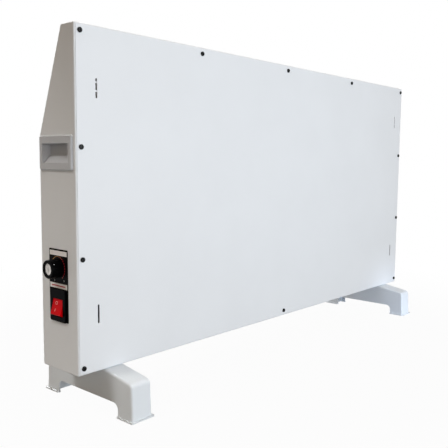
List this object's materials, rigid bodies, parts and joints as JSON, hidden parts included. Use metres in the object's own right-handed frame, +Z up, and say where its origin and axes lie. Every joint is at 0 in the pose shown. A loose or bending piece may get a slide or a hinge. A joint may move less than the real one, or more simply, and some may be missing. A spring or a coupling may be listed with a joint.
{
  "type": "wall panel convector heater",
  "caption": "Flat electric panel convector on two arched feet, with sloping louvred front, recessed end handles, dial thermostat and rocker switch.",
  "frame": {"origin": "on the floor, under the middle of the overall length and of the feet's length", "axes": "+X along the panel to the control end, +Y from the sloping front to the flat rear cover, +Z up"},
  "size_m": [1.0212, 0.2212, 0.566],
  "materials": {
    "white_steel": "satin white powder coat",
    "white_plastic": "fine-grained moulded white plastic",
    "black_screws": "black oxide",
    "zinc_steel": "zinc-plated steel",
    "scale_black": "printed black film",
    "black_plastic": "glossy black",
    "silver_disc": "spun satin",
    "red_plastic": "translucent red",
    "element_aluminium": "dark anodised",
    "copper": "bare copper",
    "blades": "tinned brass",
    "lamp_glass": "clear glass",
    "rubber": "moulded rubber",
    "ceramic": "glazed insulating body",
    "wire_brown": "silicone sleeve",
    "wire_blue": "silicone sleeve",
    "wire_green": "green and yellow sleeve"
  },
  "bodies": {
    "casing": {"casing_shell": "white_steel", "end_plate_control": "white_steel", "end_plate_far": "white_steel", "outlet_grille": "white_steel", "rear_cover": "white_steel", "cover_screws": "black_screws", "hanger_plate_control": "white_steel", "hanger_plate_far": "white_steel", "handle_cup_control": "white_plastic", "handle_cup_far": "white_plastic", "foot_control": "white_plastic", "foot_far": "white_plastic", "foot_screws": "zinc_steel", "foot_nuts": "zinc_steel", "scale_plate": "scale_black", "thermostat_body": "black_plastic", "thermostat_nut": "zinc_steel", "thermostat_capillary": "copper", "bulb_clip": "zinc_steel", "switch_bezel": "black_plastic", "switch_body": "black_plastic", "switch_terminals": "blades", "switch_lamp": "lamp_glass", "control_partition": "zinc_steel", "partition_grommet": "rubber", "heat_shield": "zinc_steel", "heating_element": "element_aluminium", "element_pins": "blades", "element_bracket_control": "zinc_steel", "element_bracket_far": "zinc_steel", "element_bush_control": "rubber", "element_bush_far": "rubber", "overheat_cutout": "ceramic", "terminal_block": "ceramic", "cable_inlet_bush": "rubber", "earth_stud": "zinc_steel", "wire_live": "wire_brown", "wire_neutral": "wire_blue", "wire_thermostat": "wire_brown", "wire_cutout": "wire_brown", "wire_element": "wire_brown", "wire_return": "wire_blue", "wire_earth": "wire_green"},
    "dial": {"knob": "black_plastic", "knob_disc": "silver_disc", "thermostat_spindle": "zinc_steel"},
    "rocker": {"switch_rocker": "red_plastic"}
  },
  "joints": [
    {"name": "dial_turn", "type": "hinge", "parent": "casing", "child": "dial", "pos_m": [0.5004, -0.0015, 0.22], "axis": [1, 0, 0], "range_deg": [-83, 211]},
    {"name": "rocker_tip", "type": "hinge", "parent": "casing", "child": "rocker", "pos_m": [0.4914, -0.0005, 0.1615], "axis": [0, 1, 0], "range_deg": [0, 28]}
  ]
}
